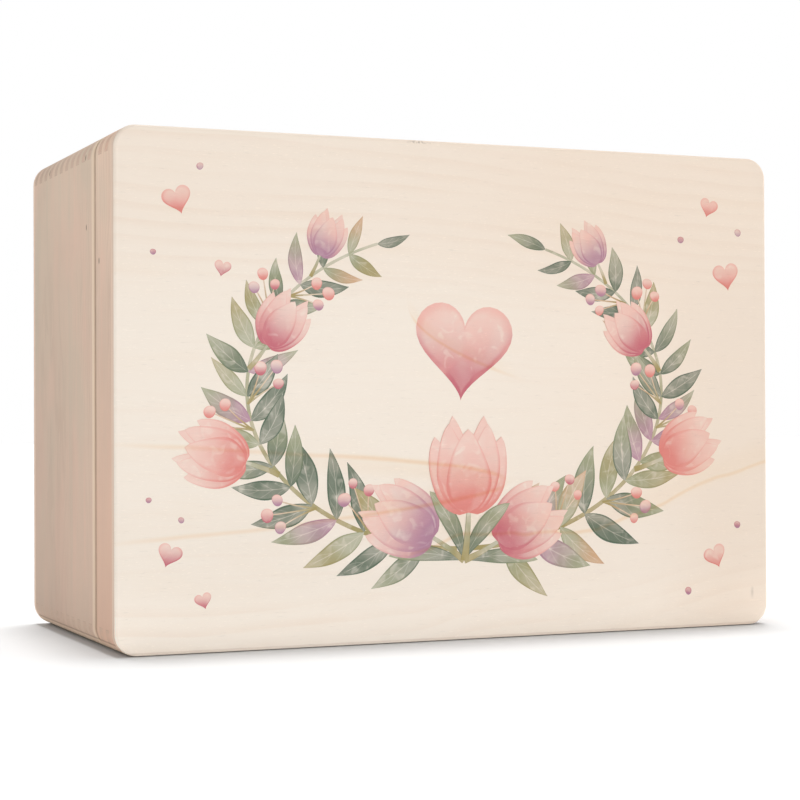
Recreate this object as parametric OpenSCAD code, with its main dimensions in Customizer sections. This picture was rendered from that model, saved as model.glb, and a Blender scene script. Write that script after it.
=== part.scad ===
// Keepsake box: a finger-jointed pine box with plywood panels and a hinged lid.
//
// It stands on its long front wall. The lid's panel faces -Y, the base panel faces +Y
// and the hinges run along the top. The origin is at the middle of its footprint.
// The box is glued up whole and sawn apart at the seam, so the fingers at its corners
// run on from the lid's rails to the body's walls. All sizes are in millimetres.

/* [Box] */
// Width of the box, along the hinges
box_w = 295; // [220:1:400]
// Height of the box as it stands, from its front wall to its back wall
box_h = 205; // [140:1:300]
// Depth of the box, from the lid's panel to the base panel
box_d = 140; // [100:1:220]
// Depth of the lid, from its panel's face to the middle of the seam
lid_d = 29; // [20:0.5:50]
// Gap between the lid's rim and the body's rim with the box closed
seam_gap = 1.2; // [0.4:0.1:1.4]
// Thickness of the pine walls and rails
wall_t = 9.5; // [8:0.5:12]
// Radius of the four rounded corners
corner_r = 9; // [4:0.5:12]
// Chamfer on the rims' outer edges, on both sides of the seam
rim_chamfer = 1; // [0.2:0.1:1.6]
// Chamfer on the rims' inner edges
inner_chamfer = 0.4; // [0.2:0.1:1]

/* [Panels] */
// Thickness of the plywood panel that closes the lid
lid_panel_t = 4; // [3:0.5:6]
// Thickness of the plywood panel that closes the body
base_panel_t = 4; // [3:0.5:6]
// Radius that rounds over the outer face of each panel
panel_round = 1.2; // [0.4:0.1:2]

/* [Finger joints] */
// Nearest width of one finger; a whole number of pairs fills the depth
finger_w = 4.8; // [4:0.2:10]
// Wood lost to the saw where the lid was cut from the body
saw_kerf = 3; // [1:0.1:4]
// Thinnest piece of a finger left at the seam; a thinner one goes to the next finger
thin_finger = 1.6; // [0.8:0.1:2.4]

/* [Hinges] */
// Length of each hinge
hinge_l = 25; // [20:1:40]
// Distance from the side of the box to the near end of its hinge
hinge_inset = 45; // [20:1:60]
// How far a leaf reaches in across the rim
leaf_w = 7; // [5.5:0.5:7.5]
// Thickness of the sheet that the leaves are rolled from
leaf_t = 0.9; // [0.7:0.1:1.4]
// Diameter of the hinge pins
pin_d = 1.6; // [1.2:0.1:2.4]
// Height of the pin's axis above the back wall
pin_out = 1.2; // [1:0.1:2]
// Number of knuckles along each hinge
knuckles = 5; // [3:2:7]

/* [Screws] */
// Diameter of the hinge screws
screw_d = 1.8; // [1.4:0.1:2.2]
// Length of the hinge screws
screw_l = 10; // [6:0.5:14]
// Distance between the two screws of a leaf
screw_pitch = 15; // [10:0.5:16]

/* [Fits] */
// Radial clearance between a pin and the knuckles that turn on it
pin_play = 0.05; // [0.02:0.01:0.1]
// Gap between one knuckle and the next
knuckle_gap = 0.2; // [0.1:0.05:0.4]
// Gap between a leaf and the end of its mortise
mortise_gap = 0.15; // [0.05:0.05:0.4]

/* [Hidden] */

$fn = 64;
// How far a cutting shape runs past the surface that it cuts
past = 1;
// Flats in the round-over of a panel's edge
round_steps = 5;

pine = [0.86, 0.76, 0.68];
plywood = [0.95, 0.89, 0.83];
brass = [0.78, 0.64, 0.36];
steel = [0.72, 0.72, 0.70];

// Planes across the box, from its left side and from the lid's face to the base
side_x = box_w / 2;
face_y = -box_d / 2;
rail_y = face_y + lid_panel_t;
seam_y = face_y + lid_d;
lid_rim_y = seam_y - seam_gap / 2;
body_rim_y = seam_y + seam_gap / 2;
base_y = box_d / 2 - base_panel_t;
back_y = box_d / 2;

// Fingers along the frame as it was before it was sawn apart. The body's fingers have
// closed up on the lid's by what the saw took, less the gap.
lost = saw_kerf - seam_gap;
frame_d = base_y - rail_y + lost;
fingers = 2 * round(frame_d / finger_w / 2);
finger_pitch = frame_d / fingers;

// The leaves lie back to back with the seam halfway between them
bore_r = pin_d / 2 + pin_play;
barrel_r = bore_r + leaf_t;
pin_z = box_h + pin_out;
hinge_x = side_x - hinge_inset - hinge_l / 2;
knuckle_l = hinge_l / knuckles;

// A screw's 90 degree head nearly fills the leaf's thickness
head_h = 0.9 * leaf_t;
head_r = screw_d / 2 + head_h;
tip_h = 1.2 * screw_d;
screw_z = box_h - leaf_w / 2;
slot_w = 0.25 * screw_d;

// One edge of a slab as [distance in from the side, y], from its flat end to its side:
// a chamfer of size c in a single step, or a round-over of that radius in several
function edge_points(y, c, into, steps) = [
  for (k = [0 : steps])
    let (a = 90 * k / steps)
    [c * (1 - sin(a)), y + into * c * (1 - cos(a))]
];

// A slab's side from its first end to its last, as [distance in from the side, y]
function slab_side(y0, y1, c0, c1, steps) = concat(
  c0 > 0 ? edge_points(y0, c0, 1, steps) : [[0, y0]],
  c1 > 0 ? reversed(edge_points(y1, c1, -1, steps)) : [[0, y1]]
);

function reversed(points) = [for (k = [len(points) - 1 : -1 : 0]) points[k]];

// Outline of a slab across both of its sides, for a half width of reach
function slab_outline(reach, side) = concat(
  [for (p = side) [reach - p[0], p[1]]],
  [for (p = reversed(side)) [p[0] - reach, p[1]]]
);

// Where finger k starts on a frame from y0 to y1, whose fingers have moved by this much
function finger_start(k, y0, y1, moved) =
  let (y = rail_y - moved + k * finger_pitch)
  y < y0 + thin_finger ? y0 : y > y1 - thin_finger ? y1 : y;

// The fingers of one parity between y0 and y1, each as its first and last y
function finger_spans(y0, y1, moved, first) = [
  for (k = [first : 2 : fingers - 1])
    let (a = finger_start(k, y0, y1, moved))
    let (b = finger_start(k + 1, y0, y1, moved))
    if (b > a) [a, b]
];

// The whole box's rounded outline from y0 to y1. Its edges are cut back by c0 and c1 at
// the two ends: chamfered, or rounded over in several steps.
module slab(y0, y1, c0, c1, steps = 1) {
  side = slab_side(y0, y1, c0, c1, steps);
  translate([0, 0, corner_r])
    linear_extrude(box_h - 2 * corner_r)
      polygon(slab_outline(side_x, side));
  translate([corner_r - side_x, 0, box_h / 2])
    rotate([0, 90, 0])
      linear_extrude(box_w - 2 * corner_r)
        polygon(slab_outline(box_h / 2, side));
  for (x = [corner_r - side_x, side_x - corner_r], z = [corner_r, box_h - corner_r])
    translate([x, 0, z])
      rotate([-90, 0, 0])
        rotate_extrude()
          polygon(concat([[0, y0]], [for (p = side) [corner_r - p[0], p[1]]], [[0, y1]]));
}

// The hollow of the frame where it flares to the inner chamfer at the rim, on the lid's
// side (-1) or the body's side (1) of the seam
module rim_flare(into) {
  rim_y = seam_y + into * seam_gap / 2;
  deep = rim_y + into * inner_chamfer;
  out = rim_y - into * past;
  flare = inner_chamfer + past;
  half_w = side_x - wall_t;
  half_h = box_h / 2 - wall_t;
  intersection() {
    linear_extrude(box_h)
      polygon([
        [-half_w, deep], [half_w, deep], [half_w + flare, out], [-half_w - flare, out],
      ]);
    translate([-side_x, 0, box_h / 2])
      rotate([0, 90, 0])
        linear_extrude(box_w)
          polygon([
            [-half_h, deep], [half_h, deep], [half_h + flare, out], [-half_h - flare, out],
          ]);
  }
}

// A board on the left (-1) or the right (1), with the odd fingers cut away
module side_board(side, y0, y1, moved) {
  x0 = side < 0 ? -side_x : side_x - wall_t;
  difference() {
    translate([x0, y0, 0]) cube([wall_t, y1 - y0, box_h]);
    for (s = finger_spans(y0, y1, moved, 1), z = [-past, box_h - wall_t])
      translate([x0 - past, s[0], z])
        cube([wall_t + 2 * past, s[1] - s[0], wall_t + past]);
  }
}

// A long board at the front (0) or the back (1), with the even fingers cut away
module long_board(back, y0, y1, moved) {
  z0 = back * (box_h - wall_t);
  difference() {
    translate([-side_x, y0, z0]) cube([box_w, y1 - y0, wall_t]);
    for (s = finger_spans(y0, y1, moved, 0), x = [-side_x - past, side_x - wall_t])
      translate([x, s[0], z0 - past])
        cube([wall_t + past, s[1] - s[0], wall_t + 2 * past]);
  }
}

// Puts a piece of the body's half of a hinge at the hinge on that side, or mirrors it
// about the seam for the lid's half
module at_hinge(side, lid) {
  translate([side * hinge_x, seam_y, 0])
    mirror([0, lid ? 1 : 0, 0])
      children();
}

// Room for one leaf and its half of the barrel in a rim
module mortise() {
  translate([-hinge_l / 2 - mortise_gap, -past, box_h - leaf_w - mortise_gap])
    cube([hinge_l + 2 * mortise_gap, past + barrel_r, leaf_w + mortise_gap + past]);
}

// One screw, its head level with the leaf's inner face and its tip in the wood
module screw() {
  translate([0, barrel_r - leaf_t, 0])
    rotate([-90, 0, 0])
      rotate_extrude()
        polygon([
          [0, 0], [head_r, 0], [screw_d / 2, head_h],
          [screw_d / 2, screw_l - tip_h], [0, screw_l],
        ]);
}

module screw_pair() {
  for (x = [-screw_pitch / 2, screw_pitch / 2])
    translate([x, 0, screw_z]) screw();
}

// The screws with a cross cut in each head
module crossed_screws() {
  difference() {
    screw_pair();
    for (x = [-screw_pitch / 2, screw_pitch / 2], turn = [0, 90])
      translate([x, barrel_r - leaf_t, screw_z])
        rotate([0, turn, 0])
          cube([1.3 * screw_d, head_h, slot_w], center = true);
  }
}

// The knuckles of one parity, each shortened by half the gap at both ends
module knuckle_row(first, r, trim) {
  for (k = [first : 2 : knuckles - 1])
    translate([k * knuckle_l - hinge_l / 2 + trim, 0, pin_z])
      rotate([0, 90, 0])
        cylinder(r = r, h = knuckle_l - 2 * trim);
}

// A hinge leaf: a plate that rolls into knuckles, with room for the other leaf's
module leaf(first, hole_r) {
  difference() {
    union() {
      translate([-hinge_l / 2, barrel_r - leaf_t, box_h - leaf_w])
        cube([hinge_l, leaf_t, leaf_w + pin_out]);
      knuckle_row(first, barrel_r, knuckle_gap / 2);
    }
    knuckle_row(1 - first, barrel_r + knuckle_gap, -knuckle_gap / 2);
    for (x = [-hinge_l / 2 - past, hinge_l / 2])
      translate([x, -barrel_r, pin_z - barrel_r - knuckle_gap])
        cube([past, 2 * barrel_r, 2 * barrel_r]);
    translate([-hinge_l / 2 - past, 0, pin_z])
      rotate([0, 90, 0])
        cylinder(r = hole_r, h = hinge_l + 2 * past);
    screw_pair();
  }
}

module pin(side) {
  color(steel)
    at_hinge(side, false)
      translate([-hinge_l / 2, 0, pin_z])
        rotate([0, 90, 0])
          cylinder(d = pin_d, h = hinge_l);
}

// Rounds a board of the body and chamfers its rim
module body_frame() {
  difference() {
    intersection() {
      slab(body_rim_y, base_y, rim_chamfer, 0);
      children();
    }
    rim_flare(1);
  }
}

// Rounds a board of the lid and chamfers its rim
module lid_frame() {
  difference() {
    intersection() {
      slab(rail_y, lid_rim_y, 0, rim_chamfer);
      children();
    }
    rim_flare(-1);
  }
}

// What a back board loses to the two hinges
module hinge_seats(lid) {
  for (side = [-1, 1])
    at_hinge(side, lid) {
      mortise();
      screw_pair();
    }
}

// The body's boards and panel

module body_side_wall(side) {
  color(pine) body_frame() side_board(side, body_rim_y, base_y, lost);
}

module body_front_wall() {
  color(pine) body_frame() long_board(0, body_rim_y, base_y, lost);
}

module body_back_wall() {
  color(pine)
    difference() {
      body_frame() long_board(1, body_rim_y, base_y, lost);
      hinge_seats(false);
    }
}

module base_panel() {
  color(plywood) slab(base_y, back_y, 0, panel_round, round_steps);
}

// The lid's boards and panel

module lid_side_rail(side) {
  color(pine) lid_frame() side_board(side, rail_y, lid_rim_y, 0);
}

module lid_front_rail() {
  color(pine) lid_frame() long_board(0, rail_y, lid_rim_y, 0);
}

module lid_back_rail() {
  color(pine)
    difference() {
      lid_frame() long_board(1, rail_y, lid_rim_y, 0);
      hinge_seats(true);
    }
}

module lid_panel() {
  color(plywood) slab(face_y, rail_y, panel_round, 0, round_steps);
}

// Hinges

module body_leaf(side) {
  color(brass) at_hinge(side, false) leaf(0, pin_d / 2);
}

module lid_leaf(side) {
  color(brass) at_hinge(side, true) leaf(1, bore_r);
}

module hinge_screws(side, lid) {
  color(brass) at_hinge(side, lid) crossed_screws();
}

body_front_wall();
body_back_wall();
body_side_wall(-1);  // body_left_wall
body_side_wall(1);  // body_right_wall
base_panel();
lid_front_rail();
lid_back_rail();
lid_side_rail(-1);  // lid_left_rail
lid_side_rail(1);  // lid_right_rail
lid_panel();
body_leaf(-1);  // left_hinge_body_leaf
lid_leaf(-1);  // left_hinge_lid_leaf
pin(-1);  // left_hinge_pin
body_leaf(1);  // right_hinge_body_leaf
lid_leaf(1);  // right_hinge_lid_leaf
pin(1);  // right_hinge_pin
hinge_screws(-1, false);  // left_hinge_screws_body
hinge_screws(-1, true);  // left_hinge_screws_lid
hinge_screws(1, false);  // right_hinge_screws_body
hinge_screws(1, true);  // right_hinge_screws_lid
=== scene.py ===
import math
import random

import bpy
from mathutils import Matrix, Vector


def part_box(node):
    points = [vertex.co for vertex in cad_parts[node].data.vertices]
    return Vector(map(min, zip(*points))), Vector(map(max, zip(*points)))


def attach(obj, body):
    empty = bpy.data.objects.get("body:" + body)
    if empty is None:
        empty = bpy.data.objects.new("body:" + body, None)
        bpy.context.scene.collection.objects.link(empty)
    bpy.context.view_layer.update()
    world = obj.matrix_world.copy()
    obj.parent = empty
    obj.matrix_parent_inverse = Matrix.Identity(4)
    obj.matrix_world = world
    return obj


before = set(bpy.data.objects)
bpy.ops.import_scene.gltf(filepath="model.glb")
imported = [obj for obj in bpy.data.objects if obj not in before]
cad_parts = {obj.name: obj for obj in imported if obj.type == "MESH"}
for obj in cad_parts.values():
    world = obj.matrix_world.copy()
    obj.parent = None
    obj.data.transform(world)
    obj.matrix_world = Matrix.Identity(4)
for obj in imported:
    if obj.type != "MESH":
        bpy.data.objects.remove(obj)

bl_info = {
    "name": "Keepsake Box",
    "version": (1, 0, 0),
    "blender": (4, 5, 0),
    "location": "View3D > Sidebar > Keepsake Box",
    "description": "Finishes a pine keepsake box and paints a wreath on its lid",
    "category": "Object",
}

# Everything below works in millimetres, in the frame of the CAD model, and meshes are
# scaled to metres as they are made.
MM = 0.001


def node_box(name):
    """Lowest and highest corner of a CAD node, in millimetres."""
    low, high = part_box(name)
    return low / MM, high / MM


PANEL_LOW, PANEL_HIGH = node_box("lid_panel")
BASE_LOW, BASE_HIGH = node_box("base_panel")
RAIL_LOW, RAIL_HIGH = node_box("lid_left_rail")

# Planes across the box, from the lid's face to the back of the base
FACE_Y = PANEL_LOW.y
RAIL_Y = RAIL_LOW.y
LID_RIM_Y = RAIL_HIGH.y
BODY_RIM_Y = node_box("body_left_wall")[0].y
SEAM_GAP = BODY_RIM_Y - LID_RIM_Y
SEAM_Y = (LID_RIM_Y + BODY_RIM_Y) / 2
BASE_Y = BASE_LOW.y
BACK_Y = BASE_HIGH.y

SIDE_X = PANEL_HIGH.x
TOP_Z = PANEL_HIGH.z
MIDDLE_Z = TOP_Z / 2
WALL = RAIL_HIGH.x - RAIL_LOW.x


def colour_property(name, description, default):
    return bpy.props.FloatVectorProperty(
        name=name, description=description, subtype="COLOR", size=3, min=0, max=1, default=default
    )


def length_property(name, description, default):
    """A size that is kept in millimetres."""
    return bpy.props.FloatProperty(name=name, description=description, default=default)


def angle_property(name, description, degrees):
    return bpy.props.FloatProperty(
        name=name, description=description, subtype="ANGLE", default=math.radians(degrees)
    )


class KeepsakePine(bpy.types.PropertyGroup):
    early: colour_property("Early wood", "Pale wood grown in spring", (0.77, 0.575, 0.44))
    late: colour_property("Late wood", "Darker wood at the end of each ring", (0.56, 0.38, 0.27))
    cool: colour_property("Cool streak", "Greyish green of the cooler streaks", (0.63, 0.54, 0.41))
    warm: colour_property("Warm streak", "Pink of the warmer streaks", (0.83, 0.565, 0.435))
    amber: colour_property("Amber", "Orange of the lid's lower end", (0.92, 0.57, 0.39))
    # Also serves as a painted highlight on the body's edge at the seam, and as painted light from the
    # floor near the foot
    rubbed_and_lit: colour_property("Rubbed edge", "Pale yellow where an edge is rubbed", (0.93, 0.74, 0.55))
    # Also serves as painted shade in the seam's groove and in the pits
    dust_and_shade: colour_property("Joint line", "Glue and dust in the joints", (0.28, 0.16, 0.09))
    ring_gap: length_property("Ring gap", "Width of one year's growth, in mm", 2.6)
    fingers: bpy.props.IntProperty(name="Fingers", description="Fingers in each corner joint", default=28)
    saw_kerf: length_property("Saw kerf", "Wood lost where the lid was sawn off, in mm", 3)
    rim_chamfer: length_property("Rim chamfer", "Width of the bevel along the seam, in mm", 1)


class KeepsakePly(bpy.types.PropertyGroup):
    face: colour_property("Face veneer", "Cream of the rotary-cut veneer", (0.84, 0.755, 0.66))
    ripe: colour_property("Ripe veneer", "Deeper cream at the top and one edge", (0.825, 0.70, 0.585))
    figure: colour_property("Figure", "Honey of the veneer's flame lines", (0.80, 0.615, 0.44))
    growth: colour_property("Growth", "Greyer pink of the growth bands", (0.78, 0.63, 0.51))
    core: colour_property("Core", "Darker ply in the middle of the panel", (0.56, 0.37, 0.27))
    edge: colour_property("Sawn edge", "Warmer wood of the panel's sawn edges", (0.86, 0.62, 0.47))
    ply: length_property("Veneer thickness", "Thickness of each outer veneer, in mm", 1.3)


class KeepsakePrint(bpy.types.PropertyGroup):
    rose: colour_property("Rose", "Dusty rose ink", (0.62, 0.17, 0.25))
    coral: colour_property("Coral", "Coral pink ink", (0.82, 0.29, 0.29))
    blush: colour_property("Blush", "Pale blush ink", (0.95, 0.60, 0.60))
    mauve: colour_property("Mauve", "Mauve ink", (0.48, 0.27, 0.45))
    sage: colour_property("Sage", "Sage green ink", (0.34, 0.41, 0.27))
    forest: colour_property("Forest", "Dark green ink", (0.10, 0.17, 0.12))
    olive: colour_property("Olive", "Olive ink", (0.42, 0.38, 0.16))
    sand: colour_property("Sand", "Warm beige ink", (0.68, 0.45, 0.28))
    half_width: length_property("Half width", "From the wreath's middle to its stem, in mm", 94)
    half_height: length_property("Half height", "From the wreath's middle to its stem, in mm", 65)
    coat: length_property("Coat", "Thickness of one layer of ink, in mm", 0.012)


class KeepsakeHardware(bpy.types.PropertyGroup):
    brass: colour_property("Brass", "Thin brass plating", (0.80, 0.58, 0.26))
    tarnish: colour_property("Tarnish", "Where the plating has dulled", (0.42, 0.27, 0.12))
    steel: colour_property("Steel", "Plain wire of the pins", (0.62, 0.61, 0.59))


class KeepsakeStage(bpy.types.PropertyGroup):
    floor: colour_property("Floor", "Plain white floor", (0.42, 0.42, 0.42))
    lens: bpy.props.FloatProperty(name="Lens", description="Focal length", unit="CAMERA", default=88.56)
    camera: bpy.props.FloatVectorProperty(
        name="Camera",
        description="Place of the camera, in mm",
        subtype="XYZ",
        size=3,
        default=(-342.5, -806.2, 91.8),
    )
    turn: angle_property("Turn", "How far the camera looks to the right", 23.10)
    tilt: angle_property("Tilt", "How far the camera looks up", 0.491)
    roll: angle_property("Roll", "How far the camera leans to the right", 0.223)


PROPERTY_GROUPS = {
    "keepsake_pine": KeepsakePine,
    "keepsake_ply": KeepsakePly,
    "keepsake_print": KeepsakePrint,
    "keepsake_hardware": KeepsakeHardware,
    "keepsake_stage": KeepsakeStage,
}


class Signal:
    """A value, colour or vector in a recipe. Arithmetic on it adds Math nodes."""

    def __init__(self, recipe, socket):
        self.recipe = recipe
        self.socket = socket

    def maths(self, operation, *inputs):
        return self.recipe.node("ShaderNodeMath", {"operation": operation}, dict(enumerate(inputs)))

    def __add__(self, other):
        return self.maths("ADD", self, other)

    def __radd__(self, other):
        return self.maths("ADD", other, self)

    def __sub__(self, other):
        return self.maths("SUBTRACT", self, other)

    def __rsub__(self, other):
        return self.maths("SUBTRACT", other, self)

    def __mul__(self, other):
        return self.maths("MULTIPLY", self, other)

    def __rmul__(self, other):
        return self.maths("MULTIPLY", other, self)

    def __truediv__(self, other):
        return self.maths("DIVIDE", self, other)

    def __pow__(self, other):
        return self.maths("POWER", self, other)

    def __abs__(self):
        return self.maths("ABSOLUTE", self)

    def fraction(self):
        return self.maths("FRACT", self)

    def above(self, other):
        return self.maths("GREATER_THAN", self, other)

    def below(self, other):
        return self.maths("LESS_THAN", self, other)

    def at_least(self, other):
        return self.maths("MAXIMUM", self, other)

    def at_most(self, other):
        return self.maths("MINIMUM", self, other)

    def sine(self):
        return self.maths("SINE", self)

    def rise(self, low, high):
        """Goes smoothly from 0 where this is low to 1 where it is high."""
        return self.recipe.node(
            "ShaderNodeMapRange",
            {"interpolation_type": "SMOOTHSTEP"},
            {"Value": self, "From Min": low, "From Max": high},
        )

    def line(self, width):
        """Is 1 where this is 0, and fades to 0 within the width on both sides."""
        return 1 - abs(self).rise(0, width)


class Recipe:
    """The nodes that give a material or the sky its look."""

    def __init__(self, tree):
        self.tree = tree

    def feed(self, socket, value):
        """Links a signal to a socket, or sets the socket to a number, colour or vector."""
        if isinstance(value, Signal):
            self.tree.links.new(value.socket, socket)
        elif socket.type == "RGBA":
            socket.default_value = (*value, 1)
        else:
            socket.default_value = value

    def node(self, kind, settings=None, inputs=None, output=0):
        """Adds a node with these settings and inputs, and gives one of its outputs."""
        made = self.tree.nodes.new(kind)
        for key, value in (settings or {}).items():
            setattr(made, key, value)
        for key, value in (inputs or {}).items():
            self.feed(made.inputs[key], value)
        return Signal(self, made.outputs[output])

    def split(self, vector):
        first = self.node("ShaderNodeSeparateXYZ", inputs={0: vector})
        return [Signal(self, socket) for socket in first.socket.node.outputs]

    def join(self, x, y, z):
        return self.node("ShaderNodeCombineXYZ", inputs={0: x, 1: y, 2: z})

    def stretch(self, vector, x, y, z):
        return self.node("ShaderNodeVectorMath", {"operation": "MULTIPLY"}, {0: vector, 1: (x, y, z)})

    def shift(self, vector, by):
        return self.node("ShaderNodeVectorMath", {"operation": "ADD"}, {0: vector, 1: by})

    def noise(self, vector, scale=1, detail=2, roughness=0.5, distortion=0):
        return self.node(
            "ShaderNodeTexNoise",
            inputs={
                "Vector": vector,
                "Scale": scale,
                "Detail": detail,
                "Roughness": roughness,
                "Distortion": distortion,
            },
        )

    def mix(self, first, second, share, blend="MIX"):
        """Blends two colours."""
        # The first sockets of a Mix node are for numbers and vectors, and these for colours
        one, other, result = 6, 7, 2
        return self.node(
            "ShaderNodeMix",
            {"data_type": "RGBA", "blend_type": blend},
            {"Factor": share, one: first, other: second},
            output=result,
        )

    def shade(self, colour, factor):
        """Makes a colour lighter or darker by a factor that varies over the surface."""
        return self.mix(colour, self.join(factor, factor, factor), 1, "MULTIPLY")

    def attribute(self, name, output):
        return self.node("ShaderNodeAttribute", {"attribute_name": name}, output=output)

    def bump(self, height, strength, depth):
        """The surface's normal, for a height from 0 to 1 that stands for a depth in mm."""
        return self.node(
            "ShaderNodeBump", inputs={"Height": height, "Strength": strength, "Distance": depth * MM}
        )


class Finish(Recipe):
    """A material whose recipe starts from places on the box, in millimetres."""

    def __init__(self, name):
        self.material = bpy.data.materials.new(name)
        self.material.use_nodes = True
        super().__init__(self.material.node_tree)
        places = self.node("ShaderNodeTexCoord", output="Object")
        self.facing = Signal(self, places.socket.node.outputs["Normal"])
        self.place = self.stretch(places, 1 / MM, 1 / MM, 1 / MM)
        self.x, self.y, self.z = self.split(self.place)

    def coat(self, inputs):
        """Gives the shader what its sockets take, and gives the material."""
        shader = self.tree.nodes["Principled BSDF"]
        for name, value in inputs.items():
            self.feed(shader.inputs[name], value)
        return self.material


def add_object(name, data):
    """Adds an object with this data to the scene."""
    made = bpy.data.objects.new(name, data)
    bpy.context.scene.collection.objects.link(made)
    return made


def dress(node, material):
    """Puts a material on a CAD node."""
    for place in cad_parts[node].material_slots:
        place.material = material


def pine(name, along, pith, seed, cool_from=(-200, -100), pits=()):
    """Pine whose grain runs along x or z. The rings lie round the pith, which is given by its
    y and its place along the third axis. The wood turns cooler between two values of y, and
    has small pits at these places (y, place along the grain)."""
    props = bpy.context.scene.keepsake_pine
    wood = Finish(name)
    length, depth = (wood.x, wood.z) if along == "x" else (wood.z, wood.x)
    board = wood.join(length, wood.y, depth)
    facing_x, facing_y, facing_z = wood.split(wood.facing)
    facing_end = abs(facing_x if along == "x" else facing_z)

    # The rings wander along the board, and show more in some places than in others
    grain = wood.shift(wood.stretch(board, 0.012, 0.05, 0.05), (seed, seed * 1.7, seed * 0.6))
    wander = (wood.noise(grain, detail=3) - 0.5) * 18
    side = wood.y - pith[0]
    below = depth - pith[1]
    radius = (side * side + below * below) ** 0.5 + wander
    ring = (radius / props.ring_gap).fraction()
    late = ring.rise(0.25, 0.9) * (1 - ring.rise(0.92, 1))
    clear_place = wood.shift(wood.stretch(board, 0.008, 0.03, 0.03), (0, 0, seed))
    late = late * wood.noise(clear_place, detail=1).rise(0.30, 0.66)

    # Streaks, patches and fibres lie along the grain, and clouds go across it as well
    streak_place = wood.shift(wood.stretch(board, 0.006, 0.16, 0.16), (seed * 3, 0, seed))
    streak = wood.noise(streak_place, detail=4, roughness=0.62)
    patch_place = wood.shift(wood.stretch(board, 0.014, 0.022, 0.022), (0, 0, seed))
    patch = wood.noise(patch_place, detail=2)
    fibre = wood.noise(wood.stretch(board, 0.11, 3.1, 3.1), detail=3, roughness=0.7)
    cloud = wood.noise(wood.stretch(wood.place, 0.02, 0.03, 0.02), detail=2)

    colour = wood.mix(props.early[:], props.late[:], late * 0.30)
    cooled = (wood.y + (cloud - 0.5) * 60).rise(*cool_from)
    colour = wood.mix(colour, props.cool[:], cooled * 0.26 + streak.rise(0.50, 0.72) * 0.30)
    colour = wood.mix(colour, props.warm[:], (1 - streak.rise(0.30, 0.48)) * 0.5)
    colour = wood.mix(colour, props.cool[:], patch.rise(0.52, 0.66) * 0.36)
    colour = wood.mix(colour, props.warm[:], (1 - patch.rise(0.36, 0.50)) * 0.45)

    # The wood is pinker towards one end, most of all on the lid. Painted light makes it paler
    # towards the other end, and painted shade darkens it towards the back and the foot
    foot = length.rise(150, 0)
    pink = foot * 0.35 + wood.y.rise(-25, -60) * (0.15 + 0.45 * foot)
    colour = wood.mix(colour, props.warm[:], pink)
    lid_wood = wood.y.rise(-38, -44)
    colour = wood.mix(colour, props.amber[:], lid_wood * foot * 0.4)
    # Painted light towards the top and on the upper part of the lid
    painted_top_light = 0.98 + 0.08 * length.rise(130, 205) + 0.06 * lid_wood * length.rise(110, 170)
    colour = wood.shade(colour, painted_top_light)
    # Painted shade towards the back and the foot
    colour = wood.shade(colour, 1 - wood.y.rise(-45, 66) * (0.08 + 0.08 * foot))
    colour = wood.mix(colour, props.late[:], foot * 0.08)
    colour = wood.shade(colour, 0.92 + 0.16 * fibre)
    colour = wood.shade(colour, 0.93 + 0.14 * cloud)

    # End grain is a little darker, with its pores open
    pores = wood.noise(wood.place, scale=2.4, detail=2, roughness=0.8)
    end = facing_end.rise(0.30, 0.9)
    end_colour = wood.mix(props.early[:], props.late[:], 0.2 + 0.4 * late)
    end_colour = wood.shade(end_colour, 0.72 + 0.40 * pores)
    worn = wood.noise(wood.place, scale=0.22, detail=3, roughness=0.7)
    colour = wood.mix(colour, end_colour, end * (0.12 + 0.42 * worn.rise(0.35, 0.65)))

    # Glue and dust outline each finger's end, more in some places than in others. The
    # fingers start from the lid's panel in the lid, and from the base in the body
    on_lid = wood.y.below(SEAM_Y)
    lost = props.saw_kerf - SEAM_GAP
    pitch = (BASE_Y - RAIL_Y + lost) / props.fingers
    start = BASE_Y - on_lid * (BASE_Y - RAIL_Y)
    phase = (((wood.y - start) / pitch + 0.5).fraction() - 0.5) * pitch
    sideways = abs(wood.x)
    upward = abs(wood.z - MIDDLE_Z)
    if along == "x":
        out, far, up, high = sideways, SIDE_X, upward, MIDDLE_Z
    else:
        out, far, up, high = upward, MIDDLE_Z, sideways, SIDE_X
    outline = phase.line(0.16).at_least((up - high + WALL).line(0.25))
    joint = outline * facing_end.rise(0.1, 0.4) * out.above(far - WALL)
    colour = wood.mix(colour, props.dust_and_shade[:], joint * (0.12 + worn.rise(0.42, 0.66) * 0.5))

    # The sawn rims carry the saw's marks, and are browner towards the outside
    sawn = abs(facing_y).rise(0.85, 0.98) * abs(wood.y - SEAM_Y).below(1)
    marks = ((wood.x + wood.z * 0.35 + wood.noise(wood.place, scale=0.05) * 8) * 1.9).sine()
    outer_x = sideways - SIDE_X
    outer = outer_x.at_least(upward - MIDDLE_Z)
    colour = wood.shade(colour, 1 - sawn * (0.04 + 0.04 * marks))
    colour = wood.mix(colour, props.dust_and_shade[:], sawn * outer.rise(-3.5, -0.5) * 0.4)

    # Painted shadow and dust darken the groove round the seam and the lid's edge of it, and
    # the body's edge is rubbed pale and carries a painted highlight
    beyond = abs(wood.y - SEAM_Y) - SEAM_GAP / 2 - props.rim_chamfer
    groove_shade = (1 - on_lid) * beyond.rise(-0.10, -0.40)
    seam_shadow_and_dust = (on_lid * beyond.rise(1.6, 0.2) * 0.5).at_least(groove_shade) * outer.rise(-4, -3) * (1 - sawn)
    rubbed_and_lit = (1 - on_lid) * beyond.rise(4.5, 1.8) * (1 - groove_shade) * outer.rise(-4, -3)
    colour = wood.mix(colour, props.rubbed_and_lit[:], rubbed_and_lit * 0.75)
    colour = wood.mix(colour, props.dust_and_shade[:], seam_shadow_and_dust * (0.20 + 0.25 * worn))

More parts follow.
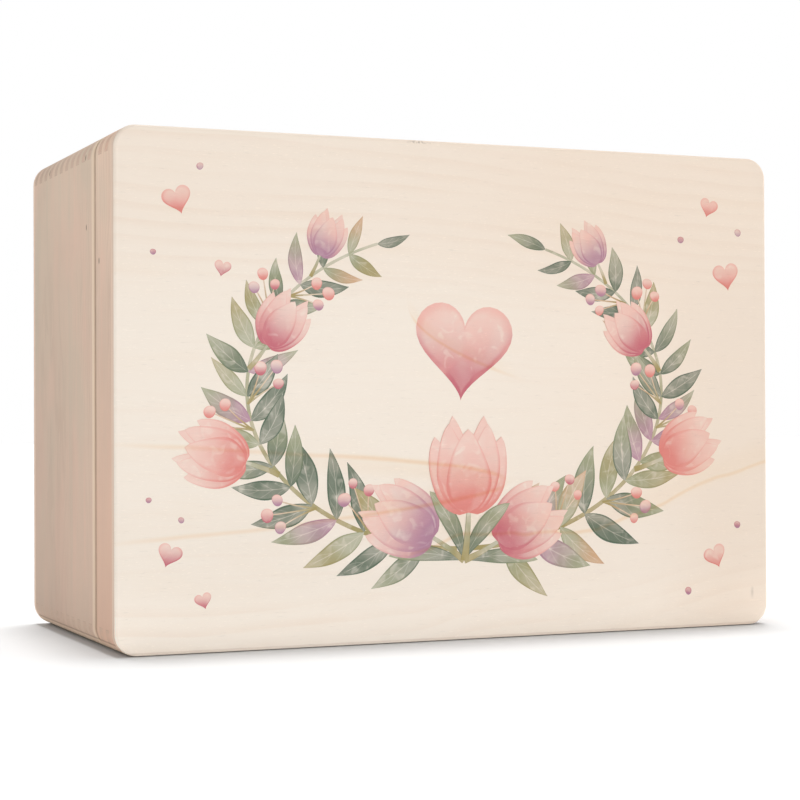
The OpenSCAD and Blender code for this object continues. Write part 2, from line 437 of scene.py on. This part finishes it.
    # A thin dark line runs along the rounded long edges near the foot, and below it
    # painted light from the floor makes the wood paler
    rounded_edge = outer_x.rise(-WALL, -4)
    colour = wood.mix(colour, props.rubbed_and_lit[:], wood.z.rise(4.0, 3.2) * rounded_edge * 0.45)
    dark_foot_line = (wood.z - 4.2).line(0.6) * rounded_edge
    colour = wood.mix(colour, props.dust_and_shade[:], dark_foot_line * (0.35 + 0.35 * worn))

    # The pits are darkened with dust and painted shade
    hollow = 0
    for place_y, height in pits:
        away = ((wood.y - place_y) ** 2 + ((length - height) * 0.6) ** 2) ** 0.5
        hollow = away.rise(1.0, 0.4).at_least(hollow)
    if pits:
        colour = wood.mix(colour, props.dust_and_shade[:], hollow * 0.9)
    relief = late * 0.3 + fibre * 0.7 + end * pores * 0.8 + sawn * marks * 0.4 - hollow * 1.5
    normal = wood.bump(relief, 0.5, 0.10)
    return wood.coat({
        "Base Color": colour,
        "Roughness": 0.56 + 0.2 * fibre + 0.12 * end,
        "Normal": normal,
        "Specular IOR Level": 0.35,
    })


def veneer(wood):
    """Colour and relief of the rotary-cut veneer on the panels, as signals of a recipe."""
    props = bpy.context.scene.keepsake_ply
    # The base has the lid's figure turned half round
    turned = wood.y.below(0) * 2 - 1
    x = wood.x * turned
    z = (wood.z - MIDDLE_Z) * turned + MIDDLE_Z
    sheet = wood.join(x, wood.y, z)
    wobble = (wood.noise(wood.stretch(sheet, 0.02, 0.01, 0.05), detail=3) - 0.5) * 3

    # A long tongue that points right to its tip, a long curve that rises to the right below
    # it, and a short bow above it
    tongue_end = 20
    tip = tongue_end - x
    tongue = (tip.at_least(0) ** 0.5) * 1.46
    spread = abs(z + wobble - 64.5 - x * 0.015) - tongue
    lit = tip.rise(-3, 8) * (1 - tip.rise(140, 175) * 0.9)
    tongue_line = spread.line(1.5) * lit * (1 - tip.rise(45, 100) * 0.35)
    tongue_glow = (spread + 3).line(6) * tip.rise(-16, 14) * (1 - tip.rise(60, 120) * 0.8)
    climb = (x + 30).rise(0, 34) * 10 + (x - 52).rise(0, 110) * 29
    ripple = (wood.noise(wood.stretch(sheet, 0.05, 0.01, 0.01), detail=1) - 0.5) * 6
    curve = z + wobble * 0.7 + ripple - 34 - climb
    long_line = curve.line(1.4) * (x + 30).rise(-2, 14)
    long_glow = (curve - 4).line(9) * (x + 34).rise(0, 40)
    bow = z + wobble * 0.4 - 139 + ((x + 25).at_least(0) ** 0.5) * 4.4
    drawn = (x + 26).rise(0, 6) * (1 - (x + 25).rise(30, 56))
    bow_line = bow.line(1.3) * drawn + (bow - 2).line(5) * drawn * 0.4

    # Growth bands run above the tongue and below the curve
    sway = wood.noise(wood.stretch(sheet, 0.006, 0.004, 0.012), detail=3, roughness=0.5)
    above = (z - 66 - tongue * 0.15).at_least(0)
    below = (30 + climb * 0.4 - z).at_least(0)
    ring = (above / 6.5 + below / 8.0 + x.rise(-40, 150) * 1.8 + sway * 2.8).fraction()
    patchy = wood.noise(wood.shift(wood.stretch(sheet, 0.012, 0.01, 0.05), (0, 0, 9)), detail=2)
    band = ring.rise(0.30, 0.88) * (1 - ring.rise(0.88, 1.0)) * (0.35 + patchy.rise(0.40, 0.62))
    band = band * (above.rise(62, 100) * 0.21 + below.rise(2, 18) * 0.18 + 0.02)

    # Fibres: broad waves of colour, strands, dark and pale flecks, and bright dashes
    flow = wood.noise(wood.stretch(sheet, 0.016, 0.01, 0.10), detail=4, roughness=0.6)
    strand_place = wood.join(x * 0.022, wood.y * 0.01, (z + wobble + x * 0.02) * 0.42)
    strand = wood.noise(strand_place, detail=3, roughness=0.6).rise(0.50, 0.72)
    flecks = wood.noise(wood.stretch(sheet, 0.13, 1, 1.15), detail=4, roughness=0.7)
    fleck = flecks.rise(0.58, 0.74)
    pale = 1 - flecks.rise(0.26, 0.42)
    dashes = wood.noise(wood.stretch(sheet, 0.42, 1, 2.3), detail=2, roughness=0.6)
    dash = dashes.rise(0.60, 0.72) * flow.rise(0.35, 0.55)

    right_edge = x.rise(80, 135) * z.rise(190, 120)
    ripe = x.rise(-70, 150) * (0.45 + 0.9 * sway) * (0.4 + 0.6 * z.rise(10, 100))
    ripe = ripe + z.rise(125, 180) * 0.5 + right_edge * 0.6
    lines = tongue_line * 0.85 + long_line * 0.8 + bow_line * 0.7
    glows = tongue_glow * 0.24 + long_glow * 0.24
    share = flow.rise(0.45, 0.85) * 0.12 + lines + glows
    colour = wood.mix(props.face[:], props.ripe[:], ripe.at_most(1))
    colour = wood.mix(colour, props.growth[:], band * 1.1 + strand * 0.10)
    colour = wood.mix(colour, props.figure[:], share.at_most(1))
    # Painted light brightens the panel near its foot, painted shade darkens its top a little, and it is a
    # little darker at the right edge
    lower = z.rise(50, 3) * 0.08 + z.rise(28, 2) * 0.09
    colour = wood.shade(colour, 1 - z.rise(90, 190) * 0.02 - right_edge * 0.04 + lower)
    colour = wood.shade(colour, 0.985 - fleck * 0.10 + pale * 0.065 + dash * 0.09)
    relief = 0.5 - fleck * 0.5 + pale * 0.3 + band * 0.3
    return colour, relief


def plywood(name):
    """A three-ply panel: veneer on both faces, darker core and layers on its edges."""
    props = bpy.context.scene.keepsake_ply
    board = Finish(name)
    colour, relief = veneer(board)
    facing = abs(board.split(board.facing)[1])
    edge = 1 - facing.rise(0.05, 0.35)

    # Depth from the nearer outer face, on the lid's panel and on the base
    on_lid = board.y.below(0)
    depth = (board.y - FACE_Y) * on_lid + (BACK_Y - board.y) * (1 - on_lid)
    thickness = RAIL_Y - FACE_Y
    blur = 0.08
    core = depth.rise(props.ply - blur, props.ply + blur)
    core = core * (1 - depth.rise(thickness - props.ply - blur, thickness - props.ply + blur))
    fibre = board.noise(board.stretch(board.place, 1.5, 5, 1.5), detail=3, roughness=0.7)
    edge_colour = board.mix(board.mix(colour, props.edge[:], 0.85), props.core[:], core * 0.22)
    edge_colour = board.shade(edge_colour, 0.90 + 0.22 * fibre)
    glue = (depth - props.ply).line(0.1).at_least((depth - thickness + props.ply).line(0.1))
    glue_brown = (0.34, 0.19, 0.11)
    edge_colour = board.mix(edge_colour, glue_brown, glue * 0.2)
    # A painted highlight lightens the rounded part of the panel's edge
    painted_round_highlight = facing.rise(0.20, 0.50) * (1 - facing.rise(0.80, 0.99))
    colour = board.shade(board.mix(colour, edge_colour, edge), 1 + 0.14 * painted_round_highlight)

    # The cutter that rounded the panels burnt a thin line along their lower edge
    colour = board.mix(colour, props.core[:], (board.z - 1.0).line(0.55) * (1 - edge) * 0.3)

    # Torn fibres on the lid's top edge, and a small grey mark in its lower right corner
    ragged = board.noise(board.stretch(board.place, 1.2, 1, 1), detail=2)
    torn = (TOP_Z - 0.9 - board.z).line(0.9) * (board.x + 19.5).line(8) * ragged.rise(0.42, 0.6)
    smudge = (board.x - 139.6).line(1.1) * (board.z - 14.2).line(3.5)
    dirt_grey = (0.22, 0.17, 0.14)
    colour = board.mix(colour, dirt_grey, (torn * 0.6 + smudge * 0.28) * on_lid)
    return board.coat({
        "Base Color": colour,
        "Roughness": 0.5 + 0.12 * relief,
        "Normal": board.bump(relief + edge * fibre - torn, 0.35, 0.06),
        "Specular IOR Level": 0.4,
    })


def printed(name):
    """Watercolour ink on the veneer. It lets the wood's figure through, gathers at the rim
    of each mark, and thins out where the wash was wet."""
    ink = Finish(name)
    wood, relief = veneer(ink)
    root_ink = ink.attribute("root_ink", "Color")
    tip_ink = ink.attribute("tip_ink", "Color")
    along, across, seed = ink.split(ink.attribute("mark", "Vector"))
    rim = ink.attribute("rim", "Fac")
    vein = ink.attribute("vein", "Fac")

    spot = ink.join(ink.x * 0.085 + seed * 7, ink.z * 0.085, seed * 11)
    wash = ink.noise(spot, detail=2, roughness=0.45, distortion=0.4)
    bloom = ink.noise(ink.join(ink.x * 0.19, ink.z * 0.19 + seed * 5, seed), detail=1, distortion=0.8)
    speck = ink.noise(ink.place, scale=1.9, detail=3, roughness=0.75)

    colour = ink.mix(root_ink, tip_ink, (along + (wash - 0.5) * 0.8).rise(0.05, 1.0))
    pool = rim.rise(0.78, 1.0)
    depth = 0.68 + (1 - vein) * (0.16 - 0.40 * along.rise(0.05, 0.85)) + 0.26 * wash.rise(0.32, 0.66)
    depth = depth - 0.20 * bloom.rise(0.55, 0.72) * (1 - pool)
    depth = depth + 0.34 * pool
    side_veins = ((along * 26 - abs(across) * 7).sine()).rise(0.86, 1.0) * (1 - rim.rise(0.7, 0.95))
    depth = depth - vein * (across.line(0.08) * 0.30 + side_veins * 0.12)
    depth = depth * (0.93 + 0.14 * speck)
    colour = ink.mix(wood, ink.mix(wood, colour, 1, "MULTIPLY"), depth.at_least(0.1).at_most(1))
    return ink.coat({
        "Base Color": colour,
        "Roughness": 0.5 + 0.1 * relief,
        "Normal": ink.bump(relief, 0.35, 0.06),
        "Specular IOR Level": 0.4,
    })


def brass(name):
    """Thin brass plating that has dulled in patches and carries fine scratches."""
    props = bpy.context.scene.keepsake_hardware
    metal = Finish(name)
    patch = metal.noise(metal.place, scale=0.35, detail=4, roughness=0.65)
    grit = metal.noise(metal.place, scale=3.5, detail=3, roughness=0.7)
    scratch = metal.noise(metal.stretch(metal.place, 0.4, 6, 6), detail=2)
    colour = metal.mix(props.brass[:], props.tarnish[:], patch.rise(0.52, 0.80) * 0.6)
    return metal.coat({
        "Base Color": colour,
        "Metallic": 1,
        "Roughness": 0.24 + 0.2 * patch.rise(0.4, 0.8) + 0.12 * scratch,
        "Normal": metal.bump(grit * 0.5 + scratch, 0.4, 0.02),
    })


def steel(name):
    """Plain drawn wire."""
    props = bpy.context.scene.keepsake_hardware
    metal = Finish(name)
    draw = metal.noise(metal.stretch(metal.place, 0.3, 9, 9), detail=3)
    return metal.coat({
        "Base Color": metal.shade(props.steel[:], 0.85 + 0.3 * draw),
        "Metallic": 1,
        "Roughness": 0.26 + 0.2 * draw,
        "Normal": metal.bump(draw, 0.3, 0.02),
    })


class InkSheet:
    """Painted marks on the lid's face, gathered into one thin mesh."""

    # Steps along a brush stroke
    STEPS = 18
    # Half the width of the thinnest part of a mark
    FINEST = 0.05

    # Corners and level of each mark so far, on all sheets
    painted = []

    def __init__(self, name):
        self.name = name
        self.points = []
        self.faces = []
        self.marks = []
        self.rims = []
        self.veins = []
        self.roots = []
        self.tips = []

    def level(self, points, over):
        """The layer of ink that a mark goes in: above the marks it crosses, or the lowest
        one that is still free there."""
        low = [min(point[k] for point in points) for k in (0, 1)]
        high = [max(point[k] for point in points) for k in (0, 1)]
        taken = {
            level
            for other_low, other_high, level in InkSheet.painted
            if all(low[k] < other_high[k] and other_low[k] < high[k] for k in (0, 1))
        }
        level = max(taken, default=0) + 1 if over else 1
        while level in taken:
            level += 1
        InkSheet.painted.append((low, high, level))
        return level

    def plate(self, points, faces, inks, over=False, vein=0):
        """Adds points of (x, z, along, across, rim) and the faces between them, as a closed
        plate of ink that starts just inside the wood."""
        props = bpy.context.scene.keepsake_print
        seed = random.random()
        start, count = len(self.points), len(points)
        for depth in (-props.coat * self.level(points, over), props.coat / 2):
            for x, z, along, across, rim in points:
                self.points.append(Vector((x, FACE_Y + depth, z)) * MM)
                self.marks.append((along, across, seed))
                self.rims.append(rim)
                self.veins.append(vein)
                self.roots.append((*inks[0], 1))
                self.tips.append((*inks[1], 1))
        edges = {edge for face in faces for edge in zip(face, face[1:] + face[:1])}
        border = [(one, two) for one, two in edges if (two, one) not in edges]
        self.faces += [tuple(start + i for i in face) for face in faces]
        self.faces += [tuple(start + count + i for i in reversed(face)) for face in faces]
        for one, two in sorted(border):
            self.faces.append((start + two, start + one, start + count + one, start + count + two))

    def ribbon(self, path, width, outline, inks, steps=STEPS, **look):
        """Adds a mark along a path, which gives a point and a heading for 0..1, as wide as the
        outline says at each place, and with slightly uneven edges."""
        sides = 8
        points = []
        for i in range(steps + 1):
            t = i / steps
            (x, z), heading = path(t)
            angle = math.radians(heading)
            half = max(width / 2 * outline(t), self.FINEST)
            for j in range(sides + 1):
                side = 2 * j / sides - 1
                off = half * side * (1 + 0.04 * math.sin(9 * t + 31 * width + side))
                place = (x - math.sin(angle) * off, z + math.cos(angle) * off)
                points.append((*place, t, side, abs(side)))
        row = sides + 1
        corners = [i * row + j for i in range(steps) for j in range(sides)]
        faces = [(k, k + row, k + row + 1, k + 1) for k in corners]
        self.plate(points, faces, inks, **look)

    def stroke(self, root, heading, length, width, bend=0, shape="leaf", inks=None, **look):
        """Adds a brush stroke from its root, and gives the point where it ends."""
        steps = self.STEPS
        spine = [tuple(root)]
        for i in range(steps):
            angle = math.radians(heading + bend * (i / steps - 0.5))
            x, z = spine[-1]
            x += math.cos(angle) * length / steps
            z += math.sin(angle) * length / steps
            spine.append((x, z))

        def path(t):
            return spine[round(t * steps)], heading + bend * (t - 0.5)

        self.ribbon(path, width, OUTLINES[shape], inks, **look)
        return spine[-1]

    def blot(self, centre, outline, inks, lean=0, **look):
        """Adds a rounded mark whose outline gives (x, z) about its middle for 0..1."""
        rings, turns = 8, 48
        turn = Matrix.Rotation(math.radians(lean), 2)
        edge = [turn @ Vector(outline(-k / turns)) for k in range(turns)]
        low = min(p.y for p in edge)
        tall = max(p.y for p in edge) - low
        points = [(*centre, -low / tall, 0, 0)]
        for i in range(rings):
            r = (i + 1) / rings
            for p in edge:
                along = (p.y * r - low) / tall
                points.append((centre[0] + p.x * r, centre[1] + p.y * r, along, 0, r))
        faces = []
        for k in range(turns):
            after = (k + 1) % turns
            faces.append((0, 1 + after, 1 + k))
            for i in range(rings - 1):
                inner, outer = 1 + i * turns, 1 + (i + 1) * turns
                faces.append((inner + k, inner + after, outer + after, outer + k))
        self.plate(points, faces, inks, **look)

    def lay(self):
        """Makes the mesh and lets it ride on the lid."""
        mesh = bpy.data.meshes.new(self.name)
        mesh.from_pydata(self.points, [], self.faces)
        for name, kind, field, values in (
            ("mark", "FLOAT_VECTOR", "vector", self.marks),
            ("rim", "FLOAT", "value", self.rims),
            ("vein", "FLOAT", "value", self.veins),
            ("root_ink", "FLOAT_COLOR", "color", self.roots),
            ("tip_ink", "FLOAT_COLOR", "color", self.tips),
        ):
            layer = mesh.attributes.new(name, kind, "POINT")
            flat = values if field == "value" else [v for value in values for v in value]
            layer.data.foreach_set(field, flat)
        mesh.materials.append(bpy.data.materials["printed_veneer"])
        piece = add_object(self.name, mesh)
        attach(piece, "lid")


def rounded(power, peak):
    """An outline that is narrow at both ends and widest part of the way along."""
    return lambda t: abs(math.sin(math.pi * t**peak)) ** power


OUTLINES = {
    "leaf": rounded(1.0, 0.80),
    "blade": rounded(0.8, 1.25),
    "bud": rounded(0.75, 0.72),
    "stem": lambda t: 1 - 0.5 * t,
}


def heart(size):
    """Outline of a heart of this width."""

    # The curve is 32 wide, and its middle lies about 3 below nought
    def outline(t):
        a = 2 * math.pi * t
        x = 16 * math.sin(a) ** 3
        z = 13 * math.cos(a) - 5 * math.cos(2 * a) - 2 * math.cos(3 * a) - math.cos(4 * a)
        return x * size / 32, (z + 3) * size / 32

    return outline


def berry(size):
    """Outline of a slightly uneven round berry."""

    def outline(t):
        a = -2 * math.pi * t
        r = size / 2 * (1 + 0.05 * math.sin(2 * a + size * 9) + 0.03 * math.sin(3 * a))
        return r * math.cos(a), r * math.sin(a)

    return outline


def wreath_point(side, t):
    """Point and heading on the wreath's stem, from its foot at t = 0 to its tip at t = 1,
    on the left (-1) or the right (1)."""
    props = bpy.context.scene.keepsake_print
    # Degrees from the foot to where the stem starts, and from there to its tip
    gap, sweep = 2, 154
    angle = math.radians(-90 + side * (gap + sweep * t))
    x = props.half_width * math.cos(angle)
    z = MIDDLE_Z + props.half_height * math.sin(angle)
    heading = math.atan2(
        side * props.half_height * math.cos(angle), -side * props.half_width * math.sin(angle)
    )
    return (x, z), math.degrees(heading)


class PieceOperator:
    """What the operators of this box share."""

    bl_options = {"REGISTER", "UNDO"}


class KEEPSAKE_OT_boards(PieceOperator, bpy.types.Operator):
    """Finishes the pine boards: one plank for each side, sawn through at the seam"""

    bl_idname = "keepsake.boards"
    bl_label = "Pine boards"

    def execute(self, context):
        left_pits = ((-26.4, 196.9), (37.6, 198.1), (-47.5, 153.7), (-27.4, 168.6))
        planks = {
            "left": pine("pine_left", "z", (34, -210), 3.1, (-45, 75), left_pits),
            "right": pine("pine_right", "z", (-20, 205), 7.7, (90, -60)),
            "front": pine("pine_front", "x", (10, -62), 11.9, (60, -120), ((-20, 45), (-60, 20))),
            "back": pine("pine_back", "x", (-15, 270), 17.3, (-20, 110), ((25, -88), (-8, 61))),
        }
        for side, plank in planks.items():
            dress(f"body_{side}_wall", plank)
            dress(f"lid_{side}_rail", plank)
        return {"FINISHED"}


class KEEPSAKE_OT_panels(PieceOperator, bpy.types.Operator):
    """Finishes the plywood panels of the lid and the base"""

    bl_idname = "keepsake.panels"
    bl_label = "Plywood panels"

    def execute(self, context):
        material = plywood("plywood_panel")
        dress("lid_panel", material)
        dress("base_panel", material)
        return {"FINISHED"}


class KEEPSAKE_OT_hinges(PieceOperator, bpy.types.Operator):
    """Finishes the brass hinges, their steel pins and their screws"""

    bl_idname = "keepsake.hinges"
    bl_label = "Hinges"

    def execute(self, context):
        plated = brass("plated_brass")
        wire = steel("steel_wire")
        for side in ("left", "right"):
            for part in ("body_leaf", "lid_leaf", "screws_body", "screws_lid"):
                dress(f"{side}_hinge_{part}", plated)
            dress(f"{side}_hinge_pin", wire)
        return {"FINISHED"}


class KEEPSAKE_OT_leaves(PieceOperator, bpy.types.Operator):
    """Paints the wreath's two stems and their leaves"""

    bl_idname = "keepsake.leaves"
    bl_label = "Wreath of leaves"

    def execute(self, context):
        props = context.scene.keepsake_print
        random.seed(4)
        printed("printed_veneer")
        InkSheet.painted.clear()
        stems = InkSheet("print_stems")
        leaves = InkSheet("print_leaves")
        pairs = [
            (props.forest, props.sage),
            (props.sage, props.olive),
            (props.forest, props.forest),
            (props.sage, props.sand),
            (props.mauve, props.sage),
            (props.forest, props.sage),
        ]
        for side in (-1, 1):
            stems.ribbon(
                lambda t: wreath_point(side, t), 2.0, OUTLINES["stem"],
                (props.olive[:], props.sage[:]), steps=70,
            )
            count = 18
            for k in range(count):
                t = 0.06 + 0.94 * k / (count - 1)
                point, heading = wreath_point(side, t)
                size = 31 - 14 * t + random.uniform(-2, 2)
                last = k == count - 1
                for turn in (-1,) if last else (-1, 1):
                    spread = 0 if last else turn * random.uniform(36, 58)
                    root, tip = random.choice(pairs)
                    leaves.stroke(
                        point, heading + spread, size, size * random.uniform(0.27, 0.37),
                        bend=-turn * random.uniform(8, 34), inks=(root[:], tip[:]), vein=1,
                    )
        stems.lay()
        leaves.lay()
        return {"FINISHED"}


class KEEPSAKE_OT_tulips(PieceOperator, bpy.types.Operator):
    """Paints the tulips and buds on the wreath"""

    bl_idname = "keepsake.tulips"
    bl_label = "Tulips"

    def tulip(self, sheet, foot, heading, size, inks, blades=()):
        props = bpy.context.scene.keepsake_print
        for turn, reach in blades:
            sheet.stroke(
                foot, heading + turn, size * reach, size * 0.17, bend=turn * 0.9, shape="blade",
                inks=(props.forest[:], props.sage[:]), over=True, vein=1,
            )
        head = sheet.stroke(
            foot, heading, size * 0.50, size * 0.075, bend=10, shape="stem",
            inks=(props.olive[:], props.sage[:]), over=True,
        )
        lean = math.radians(heading + 5)
        head = (head[0] - math.cos(lean) * size * 0.05, head[1] - math.sin(lean) * size * 0.05)
        petals = (
            (-10, 0.92, 0.30, 8),
            (10, 0.92, 0.30, -8),
            (-25, 0.80, 0.34, 34),
            (25, 0.80, 0.34, -34),
            (-13, 0.86, 0.38, 24),
            (13, 0.86, 0.38, -24),
            (0, 0.78, 0.46, 0),
        )
        for turn, tall, wide, bend in petals:
            sheet.stroke(
                head, heading + 5 + turn, size * tall, size * wide, bend=bend, shape="bud",
                inks=inks, over=True,
            )

    def execute(self, context):
        props = context.scene.keepsake_print
        random.seed(8)
        sheet = InkSheet("print_tulips")
        coral = (props.coral[:], props.blush[:])
        rose = (props.rose[:], props.blush[:])
        lilac = (props.mauve[:], props.blush[:])
        low, _ = wreath_point(1, 0)
        foot = (0, low[1] - 5)
        self.tulip(sheet, foot, 146, 38, lilac, ((30, 0.9),))
        self.tulip(sheet, foot, 26, 38, rose, ((-28, 0.9),))
        self.tulip(sheet, foot, 85, 44, coral, ((34, 0.75), (-38, 0.72)))
        heads = ((0.37, coral, 33, 30), (0.62, rose, 27, -28), (0.86, lilac, 21, 30))
        for side in (-1, 1):
            for t, inks, size, turn in heads:
                point, heading = wreath_point(side, t)
                self.tulip(sheet, point, heading - side * turn, size, inks)
        sheet.lay()
        return {"FINISHED"}


class KEEPSAKE_OT_berries(PieceOperator, bpy.types.Operator):
    """Paints berry sprigs between the leaves"""

    bl_idname = "keepsake.berries"
    bl_label = "Berries"

    def execute(self, context):
        props = context.scene.keepsake_print
        random.seed(15)
        sheet = InkSheet("print_berries")
        sprigs = ((0.16, -52), (0.27, 40), (0.48, 48), (0.54, -46), (0.74, 44), (0.80, -40))
        for side in (-1, 1):
            for t, turn in sprigs:
                point, heading = wreath_point(side, t)
                for k in (-1, 0, 1):
                    angle = heading - side * turn + k * 19
                    reach = 23 - 4 * abs(k) - 7 * t
                    end = sheet.stroke(
                        point, angle, reach, 0.8, bend=k * 14, shape="stem",
                        inks=(props.olive[:], props.sand[:]), over=True,
                    )
                    ink = random.choice((props.rose, props.coral, props.mauve))
                    round_berry = berry(random.uniform(4.0, 5.6))
                    sheet.blot(end, round_berry, (ink[:], props.blush[:]), over=True)
        sheet.lay()
        return {"FINISHED"}


class KEEPSAKE_OT_hearts(PieceOperator, bpy.types.Operator):
    """Paints the heart in the wreath, and the small hearts and dots round it"""

    bl_idname = "keepsake.hearts"
    bl_label = "Hearts"

    def execute(self, context):
        props = context.scene.keepsake_print
        random.seed(23)
        sheet = InkSheet("print_hearts")
        sheet.blot((0, MIDDLE_Z + 15), heart(44), (props.rose[:], props.blush[:]), lean=-4)
        small = (
            (-122, 176, 12, 18), (-104, 150, 7, -12), (118, 182, 9, -16), (127, 152, 13, 10),
            (-126, 38, 10, -20), (-112, 20, 7, 15), (121, 30, 11, 22),
        )
        for x, z, size, lean in small:
            ink = random.choice((props.rose, props.coral))
            sheet.blot((x, z), heart(size), (ink[:], props.blush[:]), lean=lean)
        dots = (
            (-132, 156), (-113, 190), (104, 168), (133, 172),
            (-134, 60), (-121, 52), (132, 44), (107, 16),
        )
        for x, z in dots:
            sheet.blot((x, z), berry(random.uniform(2.2, 3.4)), (props.mauve[:], props.rose[:]))
        sheet.lay()
        return {"FINISHED"}


class KEEPSAKE_OT_stage(PieceOperator, bpy.types.Operator):
    """Sets the floor, the light and the camera"""

    bl_idname = "keepsake.stage"
    bl_label = "Stage"

    def floor(self, props):
        """A square of white paper, a hair below the box."""
        reach, drop = 6000, 0.2
        mesh = bpy.data.meshes.new("floor")
        around = ((-1, -1), (1, -1), (1, 1), (-1, 1))
        corners = [Vector((x * reach, y * reach, -drop)) * MM for x, y in around]
        mesh.from_pydata(corners, [], [(0, 1, 2, 3)])
        paper = Finish("white_floor")
        speckle = paper.noise(paper.place, scale=0.05, detail=2)
        colour = paper.shade(props.floor[:], 0.99 + 0.02 * speckle)
        mesh.materials.append(paper.coat({"Base Color": colour, "Roughness": 0.7}))
        floor = add_object("floor", mesh)
        return floor

    def sky(self):
        """A white room that is dimmer on the left, where the side of the box faces."""
        world = bpy.data.worlds.new("studio")
        bpy.context.scene.world = world
        world.use_nodes = True
        room = Recipe(world.node_tree)
        dim_side = (-0.72, -0.56, 0.40)
        toward = room.node(
            "ShaderNodeVectorMath",
            {"operation": "DOT_PRODUCT"},
            {0: room.node("ShaderNodeTexCoord", output="Generated"), 1: dim_side},
            output="Value",
        )
        background = world.node_tree.nodes["Background"]
        room.feed(background.inputs["Color"], (1, 1, 1))
        room.feed(background.inputs["Strength"], 1 - toward.rise(-0.35, 1) * 0.69)

    def hang(self, name, kind, place, target=(0, 0, 0), **settings):
        """Hangs a lamp at a place, turned towards a target, both in millimetres."""
        light = bpy.data.lights.new(name, kind)
        for key, value in settings.items():
            setattr(light, key, value)
        lamp = add_object(name, light)
        lamp.location = Vector(place) * MM
        lamp.rotation_mode = "QUATERNION"
        lamp.rotation_quaternion = (Vector(target) - Vector(place)).to_track_quat("-Z", "Y")
        return lamp

    def lamps(self, floor):
        """A broad light from above, a soft box in front, and two lights that only whiten the
        floor, so that the box stands in a short soft shadow."""
        self.hang("top_light", "SUN", (300, 200, 1000), energy=1.0, angle=math.radians(60))
        soft_box = self.hang(
            "front_light", "AREA", (150, -1400, 135), (-20, -40, 100), energy=4.4, size=0.25
        )
        soft_box.visible_camera = False
        floor_lamps = (
            self.hang("floor_light", "SUN", (28, 84, 1000), energy=4.3, angle=math.radians(15.4)),
            self.hang("floor_fill", "SUN", (-1000, -200, 600), energy=1.7, angle=math.radians(70)),
        )
        lit = bpy.data.collections.new("lit_floor")
        lit.objects.link(floor)
        for lamp in floor_lamps:
            lamp.light_linking.receiver_collection = lit

    def camera(self, props):
        camera = bpy.data.cameras.new("camera")
        camera.lens = props.lens
        camera.sensor_width = 36
        camera.clip_start = 0.05
        camera.clip_end = 50
        seat = add_object("camera", camera)
        seat.matrix_world = (
            Matrix.Translation(Vector(props.camera) * MM)
            @ Matrix.Rotation(-props.turn, 4, "Z")
            @ Matrix.Rotation(math.pi / 2 + props.tilt, 4, "X")
            @ Matrix.Rotation(-props.roll, 4, "Z")
        )
        bpy.context.scene.camera = seat

    def execute(self, context):
        props = context.scene.keepsake_stage
        floor = self.floor(props)
        self.sky()
        self.lamps(floor)
        self.camera(props)
        context.scene.view_settings.view_transform = "Standard"
        context.scene.view_settings.look = "None"
        return {"FINISHED"}


OPERATORS = (
    KEEPSAKE_OT_stage,
    KEEPSAKE_OT_boards,
    KEEPSAKE_OT_panels,
    KEEPSAKE_OT_hinges,
    KEEPSAKE_OT_leaves,
    KEEPSAKE_OT_berries,
    KEEPSAKE_OT_tulips,
    KEEPSAKE_OT_hearts,
)


class KEEPSAKE_PT_panel(bpy.types.Panel):
    """Lists the pieces of the box in the sidebar"""

    bl_label = "Keepsake Box"
    bl_idname = "KEEPSAKE_PT_panel"
    bl_space_type = "VIEW_3D"
    bl_region_type = "UI"
    bl_category = "Keepsake Box"

    def draw(self, context):
        for operator in OPERATORS:
            self.layout.operator(operator.bl_idname)
        for group, kind in PROPERTY_GROUPS.items():
            column = self.layout.column()
            for name in kind.__annotations__:
                column.prop(getattr(context.scene, group), name)


def register():
    for name, kind in PROPERTY_GROUPS.items():
        bpy.utils.register_class(kind)
        setattr(bpy.types.Scene, name, bpy.props.PointerProperty(type=kind))
    for kind in (*OPERATORS, KEEPSAKE_PT_panel):
        bpy.utils.register_class(kind)


def unregister():
    for kind in (KEEPSAKE_PT_panel, *reversed(OPERATORS)):
        bpy.utils.unregister_class(kind)
    for name, kind in reversed(PROPERTY_GROUPS.items()):
        delattr(bpy.types.Scene, name)
        bpy.utils.unregister_class(kind)


def main():
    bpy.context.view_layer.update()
    register()
    for operator in OPERATORS:
        section, name = operator.bl_idname.split(".")
        getattr(getattr(bpy.ops, section), name)()


if __name__ == "__main__":
    main()
